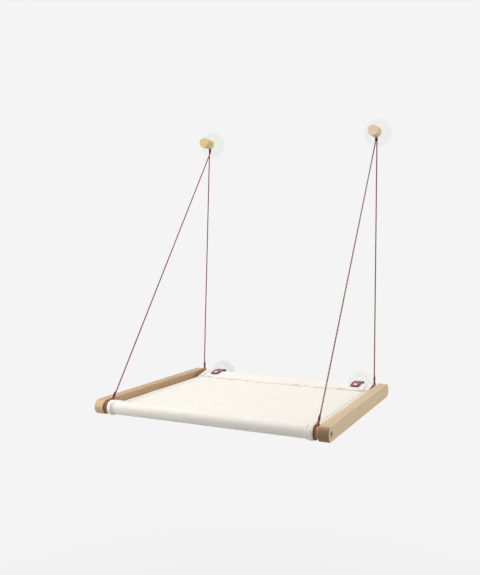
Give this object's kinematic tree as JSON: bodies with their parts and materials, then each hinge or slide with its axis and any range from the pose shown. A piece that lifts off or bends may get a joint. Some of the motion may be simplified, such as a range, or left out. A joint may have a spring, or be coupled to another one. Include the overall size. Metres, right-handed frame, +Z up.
{
  "type": "cat hammock",
  "caption": "Window cat hammock: a canvas seat on a rail-and-dowel beech frame, hung by cords from clear suction cups with wooden knobs and buttoned to lower cups by leather tabs.",
  "frame": {"origin": "on the glass, midway between the lower suction cups, at the height of the dowels", "axes": "+X to the right as seen from the room, +Y into the glass, +Z up"},
  "size_m": [0.465, 0.419, 0.607],
  "materials": {
    "rail_wood": "clear matt lacquer",
    "dowel_wood": "clear matt lacquer",
    "knob_wood": "sanded, clear matt lacquer",
    "canvas": "undyed cotton canvas",
    "cord": "twisted polyester cord",
    "cord_sleeve": "bound thread",
    "clear_pvc": "clear soft PVC",
    "steel": "zinc plated",
    "tab_leather": "smooth, dark cut edges",
    "rivet_metal": "polished nickel"
  },
  "bodies": {
    "window_set": {"upper_cup_left": "clear_pvc", "upper_cup_right": "clear_pvc", "stud_left": "steel", "stud_right": "steel", "lower_cup_left": "clear_pvc", "lower_cup_right": "clear_pvc", "cord_left": "cord", "cord_right": "cord", "top_sleeve_left": "cord_sleeve", "top_sleeve_right": "cord_sleeve", "rear_sleeve_left": "cord_sleeve", "rear_sleeve_right": "cord_sleeve"},
    "seat": {"rail_left": "rail_wood", "rail_right": "rail_wood", "front_dowel": "dowel_wood", "rear_dowel": "dowel_wood", "rail_screws": "steel", "canvas_seat": "canvas", "front_sleeve_left": "cord_sleeve", "front_sleeve_right": "cord_sleeve", "tab_left": "tab_leather", "tab_right": "tab_leather", "rivet_left": "rivet_metal", "rivet_right": "rivet_metal"},
    "knob_left_body": {"knob_left": "knob_wood"},
    "knob_right_body": {"knob_right": "knob_wood"}
  },
  "joints": [
    {"name": "seat_fold", "type": "hinge", "parent": "window_set", "child": "seat", "pos_m": [0, -0.027, 0], "axis": [-1, 0, 0], "range_deg": [0, 80], "deforming": ["cord_left", "cord_right", "tab_left", "tab_right"]},
    {"name": "knob_left_turn", "type": "hinge", "parent": "window_set", "child": "knob_left_body", "pos_m": [-0.2, -0.03, 0.55], "axis": [0, -1, 0], "range_deg": [0, 360]},
    {"name": "knob_right_turn", "type": "hinge", "parent": "window_set", "child": "knob_right_body", "pos_m": [0.2, -0.03, 0.55], "axis": [0, -1, 0], "range_deg": [0, 360]}
  ]
}
